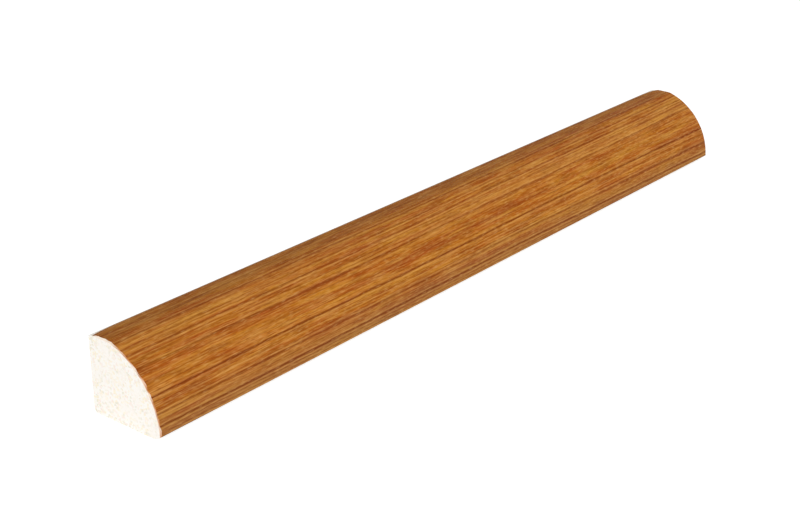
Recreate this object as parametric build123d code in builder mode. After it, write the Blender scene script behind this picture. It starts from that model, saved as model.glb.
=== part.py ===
"""Quarter-round trim moulding: a fibreboard core with a wood-grain wrap glued over its show face.

The moulding lies as it is fitted, with its base on the floor and its flat back towards the wall.
X runs along the length, +Y is the wall side, -Y is the room side and +Z is up. The origin is the
centre of the base. All sizes are in millimetres.
"""

import os

from build123d import *

# Driving dimensions of the finished moulding
LENGTH = 190.5  # a 7 1/2 inch sample length, cut square at both ends
WIDTH = 17.5  # 11/16 inch along the floor
HEIGHT = 15.875  # 5/8 inch up the wall
WRAP_THICKNESS = 0.4  # decorative wood-grain layer on the show face

# Show face: a flat land at the wall, an eased shoulder, then one sweep down to the toe
LAND_WIDTH = 5.4  # from the wall to where the sweep would meet the land without its easing
SHOULDER_RADIUS = 3.9
SWEEP_SAGITTA = 3.2  # bulge of the sweep off the straight line between toe and land

# Eased edges of the moulding
WALL_BEVEL_RUN = 1.4  # bare bevel along the top wall edge, where the wrap stops
WALL_BEVEL_DROP = 0.6
HEEL_RADIUS = 1.0  # corner that clears the joint between wall and floor
TOE_EASE_RUN = 3.2  # underside of the toe, curving up off the floor
TOE_EASE_RISE = 1.1

BACK = WIDTH / 2
FRONT = -WIDTH / 2
END_PLANE = Plane.YZ.offset(-LENGTH / 2)
TOE = (FRONT, TOE_EASE_RISE)
SWEEP = SagittaArc(TOE, (BACK - LAND_WIDTH, HEIGHT), SWEEP_SAGITTA)


def zone_behind_show_face(depth):
    """Sketch of all that lies at least depth behind the land and the sweep."""
    with BuildSketch(END_PLANE) as zone:
        Rectangle(WIDTH, HEIGHT - depth, align=(Align.CENTER, Align.MIN))
        with Locations(SWEEP.arc_center):
            Circle(SWEEP.radius - depth, mode=Mode.INTERSECT)
        shoulder = zone.vertices().group_by(Axis.Y)[-1].sort_by(Axis.X)[0]
        fillet(shoulder, SHOULDER_RADIUS - depth)
    return zone.sketch


# Blank: the base and back with their eased edges, still square on the room side
with BuildSketch(END_PLANE) as blank:
    with BuildLine():
        toe_ease = TangentArc((FRONT + TOE_EASE_RUN, 0), TOE, tangent=(-1, 0))
        Polyline(
            TOE,
            (FRONT, HEIGHT),
            (BACK - WALL_BEVEL_RUN, HEIGHT),
            (BACK, HEIGHT - WALL_BEVEL_DROP),
            (BACK, 0),
            toe_ease @ 0,
        )
    make_face()
    heel = blank.vertices().group_by(Axis.Y)[0].sort_by(Axis.X)[-1]
    fillet(heel, HEEL_RADIUS)

with BuildPart() as fibreboard_core:
    extrude(blank.sketch, amount=LENGTH)
    extrude(zone_behind_show_face(WRAP_THICKNESS), amount=LENGTH, mode=Mode.INTERSECT)
fibreboard_core.part.label = "fibreboard_core"

with BuildPart() as wood_grain_wrap:
    extrude(blank.sketch, amount=LENGTH)
    extrude(zone_behind_show_face(0), amount=LENGTH, mode=Mode.INTERSECT)
    add(fibreboard_core.part, mode=Mode.SUBTRACT)
wood_grain_wrap.part.label = "wood_grain_wrap"

os.makedirs("parts", exist_ok=True)
for piece in (fibreboard_core, wood_grain_wrap):
    export_step(piece.part, f"parts/{piece.part.label}.step")
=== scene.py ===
"""Quarter-round trim moulding with a wood-grain wrap, lying on a pale studio floor.

The fibreboard core is the CAD solid with a sawn finish. The wrap is swept from the same section with
Geometry Nodes, so that its printed grain follows the curve and its sawn edges are a little ragged. X runs
along the length, +Y is the wall side and +Z is up. Sizes are in millimetres, and become metres where
Blender takes them.
"""

from math import atan2, ceil, cos, pi, radians, sin, sqrt

import bpy
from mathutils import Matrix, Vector
from mathutils.geometry import intersect_sphere_sphere_2d


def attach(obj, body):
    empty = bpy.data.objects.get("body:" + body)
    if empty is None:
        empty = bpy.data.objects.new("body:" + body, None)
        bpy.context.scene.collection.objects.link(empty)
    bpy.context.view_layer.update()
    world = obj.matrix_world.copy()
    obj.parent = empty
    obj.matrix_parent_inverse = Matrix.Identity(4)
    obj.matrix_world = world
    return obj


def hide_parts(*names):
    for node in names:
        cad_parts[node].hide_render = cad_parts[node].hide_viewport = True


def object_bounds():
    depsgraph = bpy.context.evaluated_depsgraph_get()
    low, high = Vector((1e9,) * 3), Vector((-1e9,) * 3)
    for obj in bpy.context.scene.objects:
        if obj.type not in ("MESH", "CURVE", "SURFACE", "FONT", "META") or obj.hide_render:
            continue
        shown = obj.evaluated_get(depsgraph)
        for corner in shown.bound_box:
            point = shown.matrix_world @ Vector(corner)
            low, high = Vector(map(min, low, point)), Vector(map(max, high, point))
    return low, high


MM = 0.001

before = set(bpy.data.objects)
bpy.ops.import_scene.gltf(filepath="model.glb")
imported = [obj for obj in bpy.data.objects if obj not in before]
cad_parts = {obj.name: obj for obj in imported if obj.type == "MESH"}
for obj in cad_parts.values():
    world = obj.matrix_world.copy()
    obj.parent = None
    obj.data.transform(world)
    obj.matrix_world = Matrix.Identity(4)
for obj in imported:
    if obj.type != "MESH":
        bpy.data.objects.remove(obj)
cad_low, cad_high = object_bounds()

# Sizes of the moulding, from the frame
LENGTH, WIDTH, HEIGHT = (cad_high - cad_low) / MM
BACK = WIDTH / 2
FRONT = -WIDTH / 2

# Section of the show face, as in the solids
WRAP_THICKNESS = 0.4
LAND_WIDTH = 5.4
SHOULDER_RADIUS = 3.9
SWEEP_SAGITTA = 3.2
WALL_BEVEL_RUN = 1.4
WALL_BEVEL_DROP = 0.6
TOE_EASE_RUN = 3.2
TOE_EASE_RISE = 1.1

# Mesh of the wrap
SECTION_STEP = 0.25  # spacing of the points along the section
STATIONS = 31  # rows of points along the length
CREASE_ANGLE = 35  # degrees, from which an edge stays sharp
END_TOLERANCE = 0.01  # within which a point counts as on an end

# Wear of the wrap at its ends
WEAR_DEPTH = 0.8  # rounding of the corners on the wall side, off the wall
WEAR_LENGTH = 5.0
WEAR_WIDTH = 2.5
NEAR_CHIP_DEPTH = 0.3
FAR_CHIP_DEPTH = 0.06
CHIP_SIZE = 1.6
CHIP_NONE = 0.4  # values of the chips' noise for no chip and for the deepest
CHIP_MOST = 0.7

# Print on the wrap: distances across the grain count from the wall edge, and along it from the middle
STRAIGHT_LINE = 17.5  # the line from which the grain fans out
FAN_REACH = 100
FAN_SQUEEZE = 0.08
# Where the golden band, partly print and partly a painted highlight, comes up along the length, and where
# it is full
GOLDEN_HIGHLIGHT_START = -30
GOLDEN_HIGHLIGHT_FULL = 10
EVEN = 0.5  # middle value of a noise, where its pattern takes no ink
LINE_FAINT = 0.42  # values of a fading noise for the faintest and for the full line
LINE_FULL = 0.6

# Lacquer and sawn edge of the wrap
LACQUER_ROUGHNESS = 0.54
PORE_ROUGHNESS = 0.64
PORE_DEPTH = 0.05
PORE_RELIEF = 0.25  # share of the depth that shows
SAWN_NONE = 0.35  # how far a face looks along the length where it is printed, and where it is sawn
SAWN_FULL = 0.65
STAIN_SIZE = 2.2
STAIN_START = 4.5  # from the wall edge
STAIN_FULL = 6.5

# Fibres of the core
BUNDLE_SIZE = 0.4
CLOUD_SIZE = 3.0
FIBRE_SIZE = 0.45  # coarser than single fibres are, so that they show
FUZZ_DEPTH = 0.1
FUZZ_RELIEF = 0.3  # share of the depth that shows

# Floor
FLOOR_SIZE = 6.0  # metres
FLOOR_GLOW = 0.6  # light of its own that it shows the camera, which makes it nearly white

# Camera: a long lens, left of the near end and looking down along the show face
PHOTO_WIDTH = 800  # pixels
FOCAL_LENGTH = 1537.1  # pixels of the photograph
SENSOR_WIDTH = 36
CAMERA_PLACE = (-248.31, -187.27, 133.17)
CAMERA_HEADING = 39.32  # degrees from +X towards +Y
CAMERA_DIP = 23.28  # degrees below the horizon
CLIP_START = 10

# Light: one large softbox behind the camera and an even white room. A level is the share of a colour's own
# brightness that the light gives a face turned to it
SOFTBOX_DIRECTION = (-0.67, -0.61, 0.42)
SOFTBOX_DISTANCE = 3.0  # metres
SOFTBOX_SIZE = 2.0  # metres
SOFTBOX_LEVEL = 0.73
ROOM_LEVEL = 0.5
WHITE = (1, 1, 1, 1)


def srgb(code):
    """Linear RGBA of an sRGB hex colour."""
    channels = [int(code[i : i + 2], 16) / 255 for i in (1, 3, 5)]
    return [c / 12.92 if c <= 0.04045 else ((c + 0.055) / 1.055) ** 2.4 for c in channels] + [1.0]


def add(tree, kind, inputs=None, **settings):
    """Adds a node to a tree, with its settings and with its inputs set or linked, by name or number.

    A Map Range's inputs are the value (0), the range it is read in (1, 2) and the range it becomes (3, 4),
    which is 0 to 1 unless given. A colour Mix's inputs are the share (0) and the two colours (6, 7).
    """
    node = tree.nodes.new(kind)
    for name, value in settings.items():
        setattr(node, name, value)
    for socket, value in (inputs or {}).items():
        if isinstance(value, bpy.types.NodeSocket):
            tree.links.new(value, node.inputs[socket])
        else:
            node.inputs[socket].default_value = value
    return node


def new_material(name):
    """An empty node material, with its tree."""
    material = bpy.data.materials.new(name)
    material.use_nodes = True
    material.node_tree.nodes.clear()
    return material, material.node_tree


def grain_place(tree, unrolled):
    """Place in the printed grain, along and across it, of a place on the unrolled show face."""
    # The grain fans out from a straight line in the lower part of the sweep as it runs to the far end
    straight = (0, STRAIGHT_LINE, 0)
    along = add(tree, "ShaderNodeSeparateXYZ", {0: unrolled})
    fan = add(
        tree,
        "ShaderNodeMapRange",
        {0: along.outputs[0], 1: -FAN_REACH, 2: FAN_REACH, 3: 1 + FAN_SQUEEZE, 4: 1 - FAN_SQUEEZE},
    )
    squeeze = add(tree, "ShaderNodeCombineXYZ", {0: 1.0, 1: fan.outputs[0], 2: 1.0})
    from_straight = add(tree, "ShaderNodeVectorMath", {0: unrolled, 1: straight}, operation="SUBTRACT")
    grain = add(
        tree,
        "ShaderNodeVectorMath",
        {0: from_straight.outputs[0], 1: squeeze.outputs[0], 2: straight},
        operation="MULTIPLY_ADD",
    )

    # The grain is nearly straight: it sways slowly over the length and wobbles over some millimetres. Each
    # row has the length and width of one bend, and how far it goes to either side
    for length, width, most in ((100, 15, 0.7), (9, 2, 0.12)):
        stretched = add(tree, "ShaderNodeMapping", {0: unrolled, "Scale": (1 / length, 1 / width, 1)})
        sway = add(tree, "ShaderNodeTexNoise", {"Vector": stretched.outputs[0], "Scale": 1, "Detail": 1})
        sideways = add(tree, "ShaderNodeMapRange", {0: sway.outputs[0], 3: -most, 4: most})
        shift = add(tree, "ShaderNodeCombineXYZ", {1: sideways.outputs[0]})
        grain = add(tree, "ShaderNodeVectorMath", {0: grain.outputs[0], 1: shift.outputs[0]})
    return grain.outputs[0]


def print_noises(tree, grain):
    """Noises of the print by name: its marks, and the noises by which its lines fade."""
    noises = {}
    # Length and width of one mark, its detail, and the layer of noise that it is cut from
    for name, length, width, detail, layer in (
        ("zones", 70, 2.6, 1, 0),
        ("patches", 14, 1.1, 4, 10),
        ("threads", 230, 0.5, 1, 20),
        ("strokes", 8, 0.3, 3, 30),
        ("flecks", 1.8, 0.22, 1, 40),
        ("slow_fading", 300, 1.2, 0, 2218.5),
        ("quick_fading", 18, 0.8, 1, 60),
        ("mottles", 9, 1.8, 2, 70),
        ("land_marks", 11, 1.2, 3, 80),
    ):
        stretched = add(
            tree,
            "ShaderNodeMapping",
            {0: grain, "Location": (0, 0, layer), "Scale": (1 / length, 1 / width, 1)},
        )
        noise = add(
            tree, "ShaderNodeTexNoise", {"Vector": stretched.outputs[0], "Scale": 1, "Detail": detail}
        )
        noises[name] = noise.outputs[0]
    return noises


def print_and_light_bands(tree, along, across):
    """Bands by name: by the wall, partly print and partly painted shade on the top land, by the toe, and a
    golden one below the shoulder, partly print and partly a painted highlight.
    """
    bands = {}
    # Where each edge of a band starts and where the band is full, across the grain
    for name, start, full in (
        # The band by the wall is partly print and partly painted shade on the top land
        ("wall_band_and_shade", 6.0, 1.4),
        ("toe_band", 19.0, 23.5),
        # The golden band below the shoulder is partly print and partly a painted highlight
        ("golden_highlight_top", 8.2, 10.2),
        ("golden_highlight_foot", 12.6, 10.6),
    ):
        edge = add(tree, "ShaderNodeMapRange", {0: across, 1: start, 2: full})
        bands[name] = edge.outputs[0]

    # The golden band, partly print and partly a painted highlight, comes up about the middle of the length
    # and stays to the far end
    golden = add(tree, "ShaderNodeMapRange", {0: along, 1: GOLDEN_HIGHLIGHT_START, 2: GOLDEN_HIGHLIGHT_FULL})
    for name in ("golden_highlight_top", "golden_highlight_foot"):
        golden = add(tree, "ShaderNodeMath", {0: golden.outputs[0], 1: bands[name]}, operation="MULTIPLY")
    bands["golden_band_and_highlight"] = golden.outputs[0]
    return bands


def print_lines(tree, across, patterns):
    """Lines of the print by name, at uneven spacing, each as strong as its noise makes it."""
    lines = {}
    # Where the count of the lines starts, their mean spacing, how far from a line its ink is strongest, how
    # far from there the ink reaches, the noise by which it fades, and its share of ink where it is faintest
    for name, start, spacing, middle, reach, fading, faintest in (
        ("dark_lines", 3045, 2.15, 0.0, 0.3, "slow_fading", 0.2),
        ("pale_edges", 3045, 2.15, 0.43, 0.21, "slow_fading", 0.2),
        ("fine_lines", 0, 0.9, 0.0, 0.15, "quick_fading", 0.0),
    ):
        counted = add(tree, "ShaderNodeMath", {0: across, 1: start})
        spaced = add(
            tree,
            "ShaderNodeTexVoronoi",
            {"W": counted.outputs[0], "Scale": 1 / spacing},
            voronoi_dimensions="1D",
            feature="DISTANCE_TO_EDGE",
        )
        off_middle = add(
            tree,
            "ShaderNodeMath",
            {0: spaced.outputs["Distance"], 1: middle / spacing},
            operation="SUBTRACT",
        )
        distance = add(tree, "ShaderNodeMath", {0: off_middle.outputs[0]}, operation="ABSOLUTE")
        line = add(tree, "ShaderNodeMapRange", {0: distance.outputs[0], 1: reach / spacing, 2: 0.0})
        strength = add(
            tree, "ShaderNodeMapRange", {0: patterns[fading], 1: LINE_FAINT, 2: LINE_FULL, 3: faintest}
        )
        full_by_toe = add(
            tree, "ShaderNodeMath", {0: strength.outputs[0], 1: patterns["toe_band"]}, operation="MAXIMUM"
        )
        faded = add(
            tree, "ShaderNodeMath", {0: line.outputs[0], 1: full_by_toe.outputs[0]}, operation="MULTIPLY"
        )
        lines[name] = faded.outputs[0]
    return lines


def print_and_light_patterns(tree, grain):
    """All patterns by name at a place in the grain: those of the print, and bands that also hold painted
    shade and a painted highlight.
    """
    place = add(tree, "ShaderNodeSeparateXYZ", {0: grain})
    patterns = print_noises(tree, grain)
    patterns.update(print_and_light_bands(tree, place.outputs[0], place.outputs[1]))
    patterns.update(print_lines(tree, place.outputs[1], patterns))

    # The marks of the land show in the wall band alone
    on_land = add(tree, "ShaderNodeMix", {0: patterns["wall_band_and_shade"], 2: EVEN, 3: patterns["land_marks"]})
    patterns["land_marks"] = on_land.outputs[0]
    return patterns


def print_and_light_colour(tree, patterns):
    """Colour of the print, with painted shade by the wall and a painted highlight below the shoulder: a
    ground with inks on it, each laid over the last.
    """
    colour = srgb("#B86817")
    # Pattern, its values for no ink and for most, the share of ink there, and the ink's colour
    for name, none, most, share, code in (
        ("zones", EVEN, 0.7, 0.8, "#C6842A"),
        ("zones", EVEN, 0.3, 0.95, "#A04810"),
        ("patches", EVEN, 0.7, 0.75, "#CA8829"),
        ("patches", EVEN, 0.3, 0.85, "#A84B10"),
        ("mottles", EVEN, 0.7, 0.5, "#D0954A"),
        ("mottles", EVEN, 0.3, 0.6, "#8A4412"),
        ("threads", EVEN, 0.27, 0.3, "#8C410C"),
        ("threads", EVEN, 0.73, 0.35, "#D6974A"),
        ("strokes", EVEN, 0.25, 0.6, "#7E3F0C"),
        ("strokes", EVEN, 0.75, 0.5, "#DB9E54"),
        # Browner ink by the wall: partly print, partly painted shade on the top land
        ("wall_band_and_shade", 0.0, 1.0, 0.5, "#864E14"),
        ("land_marks", EVEN, 0.7, 0.5, "#C08A46"),
        ("land_marks", EVEN, 0.3, 0.55, "#70390E"),
        # Golden ink below the shoulder: partly print, partly a painted highlight
        ("golden_band_and_highlight", 0.0, 1.0, 0.3, "#DB9C48"),
        ("toe_band", 0.0, 1.0, 0.5, "#9A7044"),
        ("fine_lines", 0.0, 1.0, 0.52, "#7A340A"),
        ("pale_edges", 0.0, 1.0, 0.35, "#DCA45E"),
        ("dark_lines", 0.0, 1.0, 0.9, "#722E08"),
        ("flecks", 0.54, 0.8, 0.45, "#E1AC6A"),
        ("flecks", 0.46, 0.22, 0.55, "#7C3B0E"),
    ):
        ink = add(tree, "ShaderNodeMapRange", {0: patterns[name], 1: none, 2: most, 4: share})
        inked = add(tree, "ShaderNodeMix", {0: ink.outputs[0], 6: colour, 7: srgb(code)}, data_type="RGBA")
        colour = inked.outputs[2]
    return colour


def sawn_edge_colour(tree, unrolled):
    """Colour of the sawn edge: cream paper, with patches of tan under the print below the shoulder."""
    # Share of tan: full in the outer half of the thickness, faint above the shoulder, uneven along the edge
    depth = add(tree, "ShaderNodeAttribute", attribute_name="depth")
    under_print = add(tree, "ShaderNodeMapRange", {0: depth.outputs["Fac"], 1: 1.0, 2: 0.5})
    across = add(tree, "ShaderNodeSeparateXYZ", {0: unrolled})
    below_shoulder = add(
        tree, "ShaderNodeMapRange", {0: across.outputs[1], 1: STAIN_START, 2: STAIN_FULL, 3: 0.1}
    )
    stain = add(tree, "ShaderNodeTexNoise", {"Vector": unrolled, "Scale": 1 / STAIN_SIZE, "Detail": 2})
    stained = add(tree, "ShaderNodeMapRange", {0: stain.outputs[0], 1: 0.35, 2: 0.6, 3: 0.2})
    tan = under_print
    for factor in (below_shoulder, stained):
        tan = add(tree, "ShaderNodeMath", {0: tan.outputs[0], 1: factor.outputs[0]}, operation="MULTIPLY")
    edge = add(
        tree,
        "ShaderNodeMix",
        {0: tan.outputs[0], 6: srgb("#F7EADA"), 7: srgb("#C98A5E")},
        data_type="RGBA",
    )
    return edge.outputs[2]


# Decor foil: paper printed with straight-grained cherry and sealed with a dull lacquer. The eye sees a
# golden orange ground with red-brown lines, a few of them strong, short dark and pale strokes and redder
# patches, all along the length. A band by the wall is browner, partly print and partly painted shade on the
# top land; one below the shoulder is more golden, partly print and partly a painted highlight; and one by
# the toe greyer. There is hardly any shine, and the sawn edge shows bare paper.
def printed_decor_foil():
    material, tree = new_material("printed_decor_foil")

    # Place on the show face unrolled: along the length, and round the section from the wall edge
    place = add(tree, "ShaderNodeTexCoord")
    along = add(tree, "ShaderNodeSeparateXYZ", {0: place.outputs["Object"]})
    across = add(tree, "ShaderNodeAttribute", attribute_name="across_grain")
    flat = add(tree, "ShaderNodeCombineXYZ", {0: along.outputs[0], 1: across.outputs["Fac"]})
    in_mm = add(tree, "ShaderNodeVectorMath", {0: flat.outputs[0], "Scale": 1 / MM}, operation="SCALE")
    unrolled = in_mm.outputs[0]

    # Faces that look along the length are sawn, and the others are printed
    patterns = print_and_light_patterns(tree, grain_place(tree, unrolled))
    facing = add(tree, "ShaderNodeSeparateXYZ", {0: place.outputs["Normal"]})
    endwise = add(tree, "ShaderNodeMath", {0: facing.outputs[0]}, operation="ABSOLUTE")
    sawn = add(tree, "ShaderNodeMapRange", {0: endwise.outputs[0], 1: SAWN_NONE, 2: SAWN_FULL})
    colour = add(
        tree,
        "ShaderNodeMix",
        {0: sawn.outputs[0], 6: print_and_light_colour(tree, patterns), 7: sawn_edge_colour(tree, unrolled)},
        data_type="RGBA",
    )

    # The dark strokes are pressed in as pores, where the lacquer is a little duller
    dull = add(
        tree,
        "ShaderNodeMapRange",
        {0: patterns["strokes"], 1: 0.3, 2: 0.7, 3: PORE_ROUGHNESS, 4: LACQUER_ROUGHNESS},
    )
    pores = add(
        tree,
        "ShaderNodeBump",
        {"Height": patterns["strokes"], "Strength": PORE_RELIEF, "Distance": PORE_DEPTH * MM},
    )
    surface = add(
        tree,
        "ShaderNodeBsdfPrincipled",
        {
            "Base Color": colour.outputs[2],
            "Roughness": dull.outputs[0],
            "Normal": pores.outputs[0],
            "IOR": 1.5,
            "Specular IOR Level": 0.04,
        },
    )
    add(tree, "ShaderNodeOutputMaterial", {0: surface.outputs[0]})
    return material


# Medium density fibreboard, sawn: pressed pale wood fibres. The eye sees a matt cream face with fine flecks
# of straw, pink and grey, and a slight roughness.
def sawn_fibreboard():
    material, tree = new_material("sawn_fibreboard")
    place = add(tree, "ShaderNodeTexCoord")
    scaled = add(
        tree, "ShaderNodeVectorMath", {0: place.outputs["Object"], "Scale": 1 / MM}, operation="SCALE"
    )
    in_mm = scaled.outputs[0]

    # Bundles of fibres, each of its own tone
    bundles = add(tree, "ShaderNodeTexVoronoi", {"Vector": in_mm, "Scale": 1 / BUNDLE_SIZE})
    bundle_tone = add(tree, "ShaderNodeSeparateColor", {0: bundles.outputs["Color"]})
    tones = add(tree, "ShaderNodeValToRGB", {0: bundle_tone.outputs[0]})
    ramp = tones.color_ramp
    ramp.interpolation = "CONSTANT"
    ramp.elements.remove(ramp.elements[1])
    ramp.elements[0].color = srgb("#FFFCF5")
    for start, code in ((0.5, "#FDF3DC"), (0.68, "#FCEFE6"), (0.8, "#EFEBDC"), (0.88, "#FFFCF8")):
        ramp.elements.new(start).color = srgb(code)

    # Clouds of paler board, where the bundles hardly show
    clouds = add(tree, "ShaderNodeTexNoise", {"Vector": in_mm, "Scale": 1 / CLOUD_SIZE, "Detail": 2})
    cloud_share = add(tree, "ShaderNodeMapRange", {0: clouds.outputs[0], 1: 0.4, 2: 0.65, 4: 0.8})
    clouded = add(
        tree,
        "ShaderNodeMix",
        {0: cloud_share.outputs[0], 6: tones.outputs[0], 7: srgb("#FFFAF3")},
        data_type="RGBA",
    )

    # Single darker fibres, which stand up a little
    fibres = add(tree, "ShaderNodeTexNoise", {"Vector": in_mm, "Scale": 1 / FIBRE_SIZE, "Detail": 2})
    fibre_share = add(tree, "ShaderNodeMapRange", {0: fibres.outputs[0], 1: 0.62, 2: 0.75, 4: 0.5})
    colour = add(
        tree,
        "ShaderNodeMix",
        {0: fibre_share.outputs[0], 6: clouded.outputs[2], 7: srgb("#E6D8B6")},
        data_type="RGBA",
    )
    fuzz = add(
        tree,
        "ShaderNodeBump",
        {"Height": fibres.outputs[0], "Strength": FUZZ_RELIEF, "Distance": FUZZ_DEPTH * MM},
    )
    surface = add(
        tree,
        "ShaderNodeBsdfPrincipled",
        {
            "Base Color": colour.outputs[2],
            "Roughness": 0.9,
            "Normal": fuzz.outputs[0],
            "IOR": 1.5,
            "Specular IOR Level": 0.2,
        },
    )
    add(tree, "ShaderNodeOutputMaterial", {0: surface.outputs[0]})
    return material


def seen_by_camera(tree):
    """1 for a ray that shows something to the camera, also in gloss or glass, and 0 for one that lights."""
    ray = add(tree, "ShaderNodeLightPath")
    seen = ray.outputs["Is Camera Ray"]
    for kind in ("Is Glossy Ray", "Is Transmission Ray"):
        seen = add(tree, "ShaderNodeMath", {0: seen, 1: ray.outputs[kind]}).outputs[0]
    return seen


# Seamless paper: a matt white sheet. The eye sees only the soft shadow of what lies on it.
def seamless_paper():
    material, tree = new_material("seamless_paper")
    paper = add(tree, "ShaderNodeBsdfDiffuse", {"Color": srgb("#DCDCDC")})
    glow = add(tree, "ShaderNodeEmission", {"Strength": FLOOR_GLOW})
    lifted = add(tree, "ShaderNodeAddShader", {0: paper.outputs[0], 1: glow.outputs[0]})
    shown = add(
        tree, "ShaderNodeMixShader", {0: seen_by_camera(tree), 1: paper.outputs[0], 2: lifted.outputs[0]}
    )
    add(tree, "ShaderNodeOutputMaterial", {0: shown.outputs[0]})
    return material


# Sweep, shoulder and toe ease of the show face, as circles in the section with (y, z) centres
toe = Vector((FRONT, TOE_EASE_RISE))
land_end = Vector((BACK - LAND_WIDTH, HEIGHT))
chord = land_end - toe
sweep_radius = chord.length_squared / (8 * SWEEP_SAGITTA) + SWEEP_SAGITTA / 2
inward = Vector((chord.y, -chord.x)).normalized()
sweep_centre = (toe + land_end) / 2 + inward * (sweep_radius - SWEEP_SAGITTA)
shoulder_rise = HEIGHT - SHOULDER_RADIUS - sweep_centre.y
shoulder_reach = sqrt((sweep_radius - SHOULDER_RADIUS) ** 2 - shoulder_rise**2)
shoulder_centre = sweep_centre + Vector((-shoulder_reach, shoulder_rise))
toe_ease_radius = (TOE_EASE_RUN**2 + TOE_EASE_RISE**2) / (2 * TOE_EASE_RISE)
toe_ease_centre = Vector((FRONT + TOE_EASE_RUN, toe_ease_radius))


def arc_points(centre, radius, start, end, steps):
    """Points on an arc from one angle to another, both included."""
    angles = [start + (end - start) * i / steps for i in range(steps + 1)]
    return [centre + radius * Vector((cos(a), sin(a))) for a in angles]


def show_face(depth):
    """Section of the show face from the wall bevel to the toe, at depth under the surface."""
    meeting = atan2(shoulder_rise, -shoulder_reach)  # where the shoulder runs into the sweep
    crossings = intersect_sphere_sphere_2d(
        sweep_centre, sweep_radius - depth, toe_ease_centre, toe_ease_radius
    )
    toe_end = min(crossings, key=lambda point: point.y) - sweep_centre
    toe_angle = atan2(toe_end.y, toe_end.x) % (2 * pi)
    wall_end = Vector((BACK - WALL_BEVEL_RUN * (1 - depth / WALL_BEVEL_DROP), HEIGHT - depth))
    land_length = wall_end.x - shoulder_centre.x
    land_steps = ceil((BACK - WALL_BEVEL_RUN - shoulder_centre.x) / SECTION_STEP)
    land = [wall_end - Vector((land_length * i / land_steps, 0)) for i in range(land_steps)]
    shoulder_steps = ceil((meeting - pi / 2) * SHOULDER_RADIUS / SECTION_STEP)
    shoulder = arc_points(shoulder_centre, SHOULDER_RADIUS - depth, pi / 2, meeting, shoulder_steps)
    sweep_steps = ceil((pi - meeting) * sweep_radius / SECTION_STEP)
    sweep = arc_points(sweep_centre, sweep_radius - depth, meeting, toe_angle, sweep_steps)
    return land + shoulder + sweep[1:]


def section_curve(points):
    """A closed curve through section points, turned so that a sweep along X sets it upright."""
    data = bpy.data.curves.new("wrap_section", "CURVE")
    data.dimensions = "3D"
    spline = data.splines.new("POLY")
    spline.points.add(len(points) - 1)
    for point, (y, z) in zip(spline.points, points):
        point.co = (-y * MM, -z * MM, 0, 1)
    spline.use_cyclic_u = True
    curve = bpy.data.objects.new("wrap_section", data)
    bpy.context.scene.collection.objects.link(curve)
    return curve


def marked_section(tree, section, show_width):
    """The section with two attributes, which the swept mesh keeps.

    across_grain is the distance from the wall edge round the show face, and depth is 0 on the show face and
    1 on the glued face.
    """
    way_round = add(tree, "GeometryNodeSplineParameter").outputs["Length"]
    girth = add(tree, "GeometryNodeSplineLength")
    way_back = add(tree, "ShaderNodeMath", {0: girth.outputs[0], 1: way_round}, operation="SUBTRACT")
    from_wall = add(tree, "ShaderNodeMath", {0: way_round, 1: way_back.outputs[0]}, operation="MINIMUM")
    glued = add(tree, "ShaderNodeMath", {0: way_round, 1: show_width}, operation="GREATER_THAN")
    for name, value in (("across_grain", from_wall), ("depth", glued)):
        marked = add(
            tree,
            "GeometryNodeStoreNamedAttribute",
            {"Geometry": section, "Name": name, "Value": value.outputs[0]},
            data_type="FLOAT",
            domain="POINT",
        )
        section = marked.outputs[0]
    return section


def stations_along(tree, near_end, count):
    """A line along the length, with points that crowd towards the ends as a cosine does."""
    axis = add(tree, "GeometryNodeCurvePrimitiveLine", {"Start": (0, 0, 0), "End": (1, 0, 0)})
    even = add(tree, "GeometryNodeResampleCurve", {"Curve": axis.outputs[0], "Count": count})
    share = add(tree, "GeometryNodeSplineParameter")
    turn = add(tree, "ShaderNodeMath", {0: share.outputs["Factor"], 1: pi}, operation="MULTIPLY")
    cosine = add(tree, "ShaderNodeMath", {0: turn.outputs[0]}, operation="COSINE")
    along = add(tree, "ShaderNodeMath", {0: cosine.outputs[0], 1: near_end}, operation="MULTIPLY")
    station = add(tree, "ShaderNodeCombineXYZ", {0: along.outputs[0]})
    stations = add(
        tree, "GeometryNodeSetPosition", {"Geometry": even.outputs[0], "Position": station.outputs[0]}
    )
    return stations.outputs[0]


def wall_wear(tree, given, reach, far_end):
    """How far a point by the wall edge draws back from the wall, in a hollow curve towards either end."""
    unworn = add(tree, "ShaderNodeMath", {0: far_end, 1: given["Wear Length"]}, operation="SUBTRACT")
    by_end = add(tree, "ShaderNodeMapRange", {0: reach, 1: unworn.outputs[0], 2: far_end})
    hollow = add(tree, "ShaderNodeMath", {0: by_end.outputs[0], 1: 2.0}, operation="POWER")
    across = add(tree, "GeometryNodeInputNamedAttribute", {"Name": "across_grain"}, data_type="FLOAT")
    by_wall = add(
        tree,
        "ShaderNodeMapRange",
        {0: across.outputs[0], 1: given["Wear Width"], 2: 0.0, 4: given["Wear Depth"]},
    )
    worn = add(tree, "ShaderNodeMath", {0: hollow.outputs[0], 1: by_wall.outputs[0]}, operation="MULTIPLY")
    return worn.outputs[0]


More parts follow.
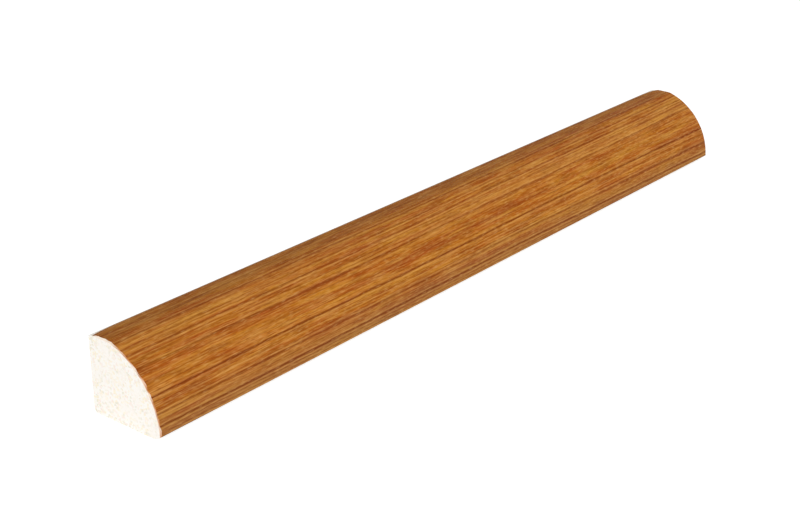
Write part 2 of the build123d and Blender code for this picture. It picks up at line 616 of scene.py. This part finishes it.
def end_chips(tree, given, along, reach, near_end, far_end):
    """How far a show-face point on a sawn end draws back along the length, below 0 at the near end."""
    noise_scale = add(tree, "ShaderNodeMath", {0: 1.0, 1: given["Chip Size"]}, operation="DIVIDE")
    noise = add(tree, "ShaderNodeTexNoise", {"Scale": noise_scale.outputs[0], "Detail": 2})
    deepest = add(
        tree,
        "ShaderNodeMapRange",
        {0: along, 1: near_end, 2: far_end, 3: given["Near Chip Depth"], 4: given["Far Chip Depth"]},
    )
    chip = add(
        tree,
        "ShaderNodeMapRange",
        {0: noise.outputs[0], 1: CHIP_NONE, 2: CHIP_MOST, 4: deepest.outputs[0]},
    )
    at_end = add(
        tree, "ShaderNodeMath", {0: reach, 1: far_end, 2: END_TOLERANCE * MM}, operation="COMPARE"
    )
    depth = add(tree, "GeometryNodeInputNamedAttribute", {"Name": "depth"}, data_type="FLOAT")
    shows = add(tree, "ShaderNodeMath", {0: depth.outputs[0], 1: 0.5}, operation="LESS_THAN")
    side = add(tree, "ShaderNodeMath", {0: along}, operation="SIGN")
    for factor in (at_end, shows, side):
        chip = add(tree, "ShaderNodeMath", {0: chip.outputs[0], 1: factor.outputs[0]}, operation="MULTIPLY")
    return chip.outputs[0]


def swept_wrap_tree():
    """Geometry Nodes: sweeps a section along X, then wears its wall corners and chips its sawn ends."""
    tree = bpy.data.node_groups.new("swept_wrap", "GeometryNodeTree")
    sockets = {}
    for name, kind in (
        ("Section", "NodeSocketObject"),
        ("Length", "NodeSocketFloat"),
        ("Stations", "NodeSocketInt"),
        ("Show Width", "NodeSocketFloat"),
        ("Wear Depth", "NodeSocketFloat"),
        ("Wear Length", "NodeSocketFloat"),
        ("Wear Width", "NodeSocketFloat"),
        ("Near Chip Depth", "NodeSocketFloat"),
        ("Far Chip Depth", "NodeSocketFloat"),
        ("Chip Size", "NodeSocketFloat"),
        ("Material", "NodeSocketMaterial"),
    ):
        sockets[name] = tree.interface.new_socket(name, in_out="INPUT", socket_type=kind).identifier
    tree.interface.new_socket("Wrap", in_out="OUTPUT", socket_type="NodeSocketGeometry")
    given = add(tree, "NodeGroupInput").outputs

    # Sweep, with the sawn ends closed
    far_end = add(tree, "ShaderNodeMath", {0: given["Length"], 1: 0.5}, operation="MULTIPLY").outputs[0]
    near_end = add(tree, "ShaderNodeMath", {0: given["Length"], 1: -0.5}, operation="MULTIPLY").outputs[0]
    section = add(tree, "GeometryNodeObjectInfo", {"Object": given["Section"]})
    swept = add(
        tree,
        "GeometryNodeCurveToMesh",
        {
            "Curve": stations_along(tree, near_end, given["Stations"]),
            "Profile Curve": marked_section(tree, section.outputs["Geometry"], given["Show Width"]),
            "Fill Caps": True,
        },
    )
    closed = add(tree, "GeometryNodeTriangulate", {"Mesh": swept.outputs[0]})

    # Wear and chips
    position = add(tree, "GeometryNodeInputPosition")
    along = add(tree, "ShaderNodeSeparateXYZ", {0: position.outputs[0]}).outputs[0]
    reach = add(tree, "ShaderNodeMath", {0: along}, operation="ABSOLUTE").outputs[0]
    chipped = end_chips(tree, given, along, reach, near_end, far_end)
    worn = wall_wear(tree, given, reach, far_end)
    drawn_back = add(tree, "ShaderNodeCombineXYZ", {0: chipped, 1: worn})
    shift = add(tree, "ShaderNodeVectorMath", {0: drawn_back.outputs[0], "Scale": -1.0}, operation="SCALE")
    used = add(tree, "GeometryNodeSetPosition", {"Geometry": closed.outputs[0], "Offset": shift.outputs[0]})

    real = add(tree, "GeometryNodeRealizeInstances", {0: used.outputs[0]})
    finished = add(
        tree, "GeometryNodeSetMaterial", {"Geometry": real.outputs[0], "Material": given["Material"]}
    )
    add(tree, "NodeGroupOutput", {0: finished.outputs[0]})
    return tree, sockets


def wood_grain_wrap(material):
    """The wrap as a plain mesh, swept from its section."""
    outer = show_face(0)
    inner = show_face(WRAP_THICKNESS)
    show_width = sum((b - a).length for a, b in zip(outer, outer[1:]))
    section = section_curve(outer + inner[::-1])
    piece = bpy.data.objects.new("printed_wrap", bpy.data.meshes.new("printed_wrap"))
    bpy.context.scene.collection.objects.link(piece)
    tree, sockets = swept_wrap_tree()
    sweep = piece.modifiers.new("sweep", "NODES")
    sweep.node_group = tree
    for name, value in (
        ("Section", section),
        ("Length", LENGTH * MM),
        ("Stations", STATIONS),
        ("Show Width", (show_width + SECTION_STEP / 2) * MM),
        ("Wear Depth", WEAR_DEPTH * MM),
        ("Wear Length", WEAR_LENGTH * MM),
        ("Wear Width", WEAR_WIDTH * MM),
        ("Near Chip Depth", NEAR_CHIP_DEPTH * MM),
        ("Far Chip Depth", FAR_CHIP_DEPTH * MM),
        ("Chip Size", CHIP_SIZE * MM),
        ("Material", material),
    ):
        sweep[sockets[name]] = value
    swept = piece.evaluated_get(bpy.context.evaluated_depsgraph_get())
    mesh = bpy.data.meshes.new_from_object(swept)
    piece.modifiers.clear()
    piece.data = mesh
    bpy.data.objects.remove(section)
    mesh.shade_smooth()
    mesh.set_sharp_from_angle(angle=radians(CREASE_ANGLE))
    return piece


# Wrap, and the core that it is glued to
wrap = wood_grain_wrap(printed_decor_foil())
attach(wrap, "root")
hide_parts("wood_grain_wrap")

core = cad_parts["fibreboard_core"]
core.material_slots[0].material = sawn_fibreboard()

# Floor
corner = FLOOR_SIZE / 2
corners = [(-corner, -corner, 0), (corner, -corner, 0), (corner, corner, 0), (-corner, corner, 0)]
floor_mesh = bpy.data.meshes.new("studio_floor")
floor_mesh.from_pydata(corners, [], [(0, 1, 2, 3)])
floor_mesh.materials.append(seamless_paper())
floor = bpy.data.objects.new("studio_floor", floor_mesh)
bpy.context.scene.collection.objects.link(floor)

# Camera
camera_data = bpy.data.cameras.new("camera")
camera_data.sensor_width = SENSOR_WIDTH
camera_data.lens = FOCAL_LENGTH * SENSOR_WIDTH / PHOTO_WIDTH
camera_data.clip_start = CLIP_START * MM
camera = bpy.data.objects.new("camera", camera_data)
camera.location = Vector(CAMERA_PLACE) * MM
camera.rotation_euler = (radians(90 - CAMERA_DIP), 0, radians(CAMERA_HEADING - 90))
bpy.context.scene.collection.objects.link(camera)
bpy.context.scene.camera = camera

# Softbox, which faces the origin
softbox_data = bpy.data.lights.new("softbox", "AREA")
softbox_data.size = SOFTBOX_SIZE
softbox_data.energy = SOFTBOX_LEVEL * pi**2 * SOFTBOX_DISTANCE**2
softbox = bpy.data.objects.new("softbox", softbox_data)
softbox_direction = Vector(SOFTBOX_DIRECTION).normalized()
softbox.location = softbox_direction * SOFTBOX_DISTANCE
softbox.rotation_euler = softbox_direction.to_track_quat("Z", "Y").to_euler()
bpy.context.scene.collection.objects.link(softbox)

# Room, which looks white and lights at its own level
world = bpy.data.worlds.new("white_room")
world.use_nodes = True
room = world.node_tree
room.nodes.clear()
fill = add(room, "ShaderNodeBackground", {"Color": WHITE, "Strength": ROOM_LEVEL})
white = add(room, "ShaderNodeBackground", {"Color": WHITE, "Strength": 1.0})
shown = add(room, "ShaderNodeMixShader", {0: seen_by_camera(room), 1: fill.outputs[0], 2: white.outputs[0]})
add(room, "ShaderNodeOutputWorld", {0: shown.outputs[0]})
bpy.context.scene.world = world
bpy.context.scene.view_settings.view_transform = "Standard"
